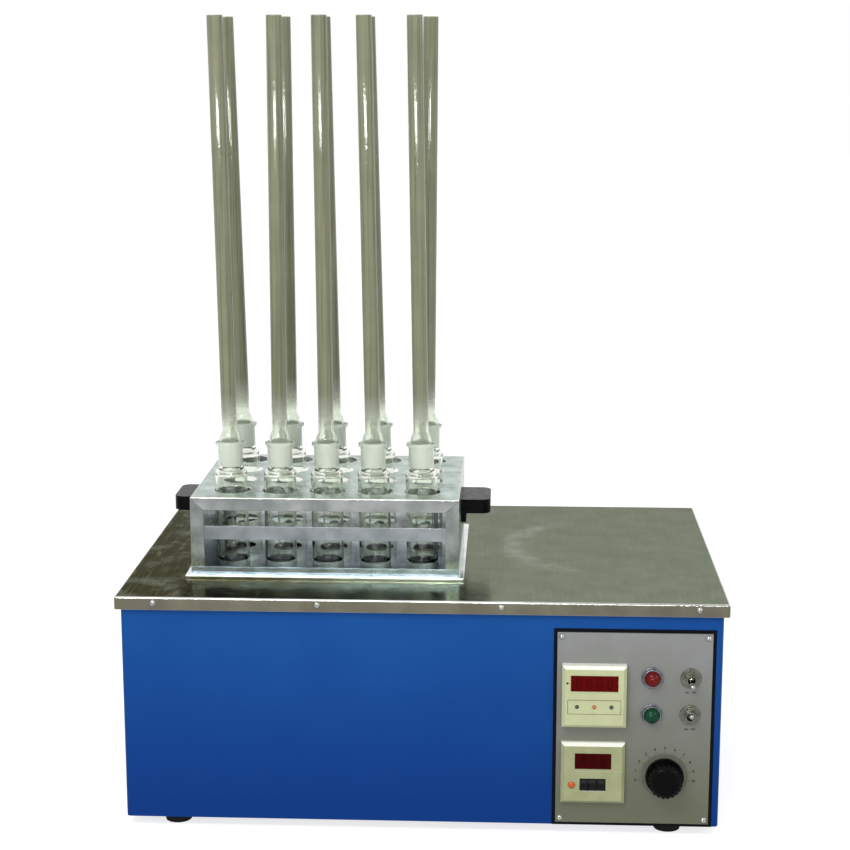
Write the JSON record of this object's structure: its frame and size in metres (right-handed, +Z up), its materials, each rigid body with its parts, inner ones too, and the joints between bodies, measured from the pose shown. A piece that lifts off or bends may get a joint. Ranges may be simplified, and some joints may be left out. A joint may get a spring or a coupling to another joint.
{
  "type": "block digester",
  "caption": "Block digester: heating block in a blue sheet-steel case, a lift-out rack of glass tubes with tall air condensers, and a control panel at the front right.",
  "frame": {"origin": "centre of the footprint's outline on the bench surface, under the middle of the case", "axes": "+Z up, -Y towards the control panel and the user, +X to the user's right"},
  "size_m": [0.6944, 0.4926, 0.9171],
  "materials": {
    "case_paint": "semi-gloss enamel",
    "stainless": "polished sheet",
    "inner_steel": "plain sheet",
    "screw_steel": "plated",
    "rubber": "matte",
    "block_aluminium": "machined",
    "heater_iron": "ground",
    "insulation": "ceramic fibre board",
    "black_plastic": "moulded",
    "black_moulding": "glossy phenolic",
    "glass": "clear borosilicate, ground at the joints",
    "panel_grey": "satin",
    "surround_black": "satin",
    "timer_plastic": "satin",
    "controller_plastic": "satin",
    "red_window": "clear filter",
    "amber_lens": "translucent",
    "plated_metal": "plated",
    "red_lens": "translucent",
    "green_lens": "translucent",
    "regulator_metal": "moulded"
  },
  "bodies": {
    "root": {"case_body": "case_paint", "rear_panel": "case_paint", "top_cover": "stainless", "block_bezel": "stainless", "block_housing": "inner_steel", "temperature_probe": "inner_steel", "case_screws": "screw_steel", "panel_screws": "screw_steel", "rubber_feet": "rubber", "heating_block": "block_aluminium", "heater_plate": "heater_iron", "block_insulation": "insulation", "cable_gland": "black_plastic", "fuse_holder": "black_plastic", "control_panel": "panel_grey", "panel_surround": "surround_black", "timer": "timer_plastic", "controller": "controller_plastic", "timer_window": "red_window", "controller_window": "red_window", "meter_lamps": "amber_lens", "pilot_lamp_bodies": "plated_metal", "toggle_switches": "plated_metal", "red_lens": "red_lens", "green_lens": "green_lens", "regulator": "regulator_metal"},
    "rack": {"rack_top_plate": "stainless", "rack_middle_shelf": "stainless", "rack_bottom_plate": "stainless", "rack_side_left": "stainless", "rack_side_right": "stainless", "handle_left": "black_moulding", "handle_right": "black_moulding", "handle_screws": "screw_steel"},
    "tube_01": {"digestion_tube_01": "glass"},
    "condenser_01": {"air_condenser_01": "glass"},
    "tube_02": {"digestion_tube_02": "glass"},
    "condenser_02": {"air_condenser_02": "glass"},
    "tube_03": {"digestion_tube_03": "glass"},
    "condenser_03": {"air_condenser_03": "glass"},
    "tube_04": {"digestion_tube_04": "glass"},
    "condenser_04": {"air_condenser_04": "glass"},
    "tube_05": {"digestion_tube_05": "glass"},
    "condenser_05": {"air_condenser_05": "glass"},
    "tube_06": {"digestion_tube_06": "glass"},
    "condenser_06": {"air_condenser_06": "glass"},
    "tube_07": {"digestion_tube_07": "glass"},
    "condenser_07": {"air_condenser_07": "glass"},
    "tube_08": {"digestion_tube_08": "glass"},
    "condenser_08": {"air_condenser_08": "glass"},
    "tube_09": {"digestion_tube_09": "glass"},
    "condenser_09": {"air_condenser_09": "glass"},
    "tube_10": {"digestion_tube_10": "glass"},
    "condenser_10": {"air_condenser_10": "glass"},
    "knob": {"regulator_knob": "black_moulding"},
    "lever_upper": {"toggle_lever_upper": "plated_metal"},
    "lever_lower": {"toggle_lever_lower": "plated_metal"},
    "wheel_1": {"thumbwheel_1": "black_plastic"},
    "wheel_2": {"thumbwheel_2": "black_plastic"},
    "wheel_3": {"thumbwheel_3": "black_plastic"}
  },
  "joints": [
    {"name": "rack_lift", "type": "slide", "parent": "root", "child": "rack", "axis": [0, 0, 1], "range_m": [0, 0.12]},
    {"name": "tube_lift_01", "type": "slide", "parent": "rack", "child": "tube_01", "axis": [-0.0157, 0, 0.9999], "range_m": [0, 0.17]},
    {"name": "condenser_lift_01", "type": "slide", "parent": "tube_01", "child": "condenser_01", "axis": [-0.0157, 0, 0.9999], "range_m": [0, 0.05]},
    {"name": "tube_lift_02", "type": "slide", "parent": "rack", "child": "tube_02", "axis": [0.0017, 0, 1], "range_m": [0, 0.17]},
    {"name": "condenser_lift_02", "type": "slide", "parent": "tube_02", "child": "condenser_02", "axis": [0.0017, 0, 1], "range_m": [0, 0.05]},
    {"name": "tube_lift_03", "type": "slide", "parent": "rack", "child": "tube_03", "axis": [-0.007, 0, 1], "range_m": [0, 0.17]},
    {"name": "condenser_lift_03", "type": "slide", "parent": "tube_03", "child": "condenser_03", "axis": [-0.007, 0, 1], "range_m": [0, 0.05]},
    {"name": "tube_lift_04", "type": "slide", "parent": "rack", "child": "tube_04", "axis": [-0.0157, 0, 0.9999], "range_m": [0, 0.17]},
    {"name": "condenser_lift_04", "type": "slide", "parent": "tube_04", "child": "condenser_04", "axis": [-0.0157, 0, 0.9999], "range_m": [0, 0.05]},
    {"name": "tube_lift_05", "type": "slide", "parent": "rack", "child": "tube_05", "axis": [-0.014, 0, 0.9999], "range_m": [0, 0.17]},
    {"name": "condenser_lift_05", "type": "slide", "parent": "tube_05", "child": "condenser_05", "axis": [-0.014, 0, 0.9999], "range_m": [0, 0.05]},
    {"name": "tube_lift_06", "type": "slide", "parent": "rack", "child": "tube_06", "axis": [-0.0227, 0, 0.9997], "range_m": [0, 0.17]},
    {"name": "condenser_lift_06", "type": "slide", "parent": "tube_06", "child": "condenser_06", "axis": [-0.0227, 0, 0.9997], "range_m": [0, 0.05]},
    {"name": "tube_lift_07", "type": "slide", "parent": "rack", "child": "tube_07", "axis": [-0.0035, 0, 1], "range_m": [0, 0.17]},
    {"name": "condenser_lift_07", "type": "slide", "parent": "tube_07", "child": "condenser_07", "axis": [-0.0035, 0, 1], "range_m": [0, 0.05]},
    {"name": "tube_lift_08", "type": "slide", "parent": "rack", "child": "tube_08", "axis": [-0.0175, 0, 0.9998], "range_m": [0, 0.17]},
    {"name": "condenser_lift_08", "type": "slide", "parent": "tube_08", "child": "condenser_08", "axis": [-0.0175, 0, 0.9998], "range_m": [0, 0.05]},
    {"name": "tube_lift_09", "type": "slide", "parent": "rack", "child": "tube_09", "axis": [-0.0227, 0, 0.9997], "range_m": [0, 0.17]},
    {"name": "condenser_lift_09", "type": "slide", "parent": "tube_09", "child": "condenser_09", "axis": [-0.0227, 0, 0.9997], "range_m": [0, 0.05]},
    {"name": "tube_lift_10", "type": "slide", "parent": "rack", "child": "tube_10", "axis": [0.007, 0, 1], "range_m": [0, 0.17]},
    {"name": "condenser_lift_10", "type": "slide", "parent": "tube_10", "child": "condenser_10", "axis": [0.007, 0, 1], "range_m": [0, 0.05]},
    {"name": "regulator_turn", "type": "hinge", "parent": "root", "child": "knob", "pos_m": [0.2765, -0.22225, 0.0735], "axis": [0, -1, 0], "range_deg": [-65, 135]},
    {"name": "toggle_upper", "type": "hinge", "parent": "root", "child": "lever_upper", "pos_m": [0.3035, -0.22525, 0.1895], "axis": [-1, 0, 0], "range_deg": [0, 30]},
    {"name": "toggle_lower", "type": "hinge", "parent": "root", "child": "lever_lower", "pos_m": [0.3035, -0.22525, 0.1465], "axis": [1, 0, 0], "range_deg": [0, 30]},
    {"name": "thumbwheel_turn_1", "type": "hinge", "parent": "root", "child": "wheel_1", "pos_m": [0.1857, -0.22005, 0.0642], "axis": [1, 0, 0], "continuous": true},
    {"name": "thumbwheel_turn_2", "type": "hinge", "parent": "root", "child": "wheel_2", "pos_m": [0.1955, -0.22005, 0.0642], "axis": [1, 0, 0], "continuous": true},
    {"name": "thumbwheel_turn_3", "type": "hinge", "parent": "root", "child": "wheel_3", "pos_m": [0.2053, -0.22005, 0.0642], "axis": [1, 0, 0], "continuous": true}
  ]
}
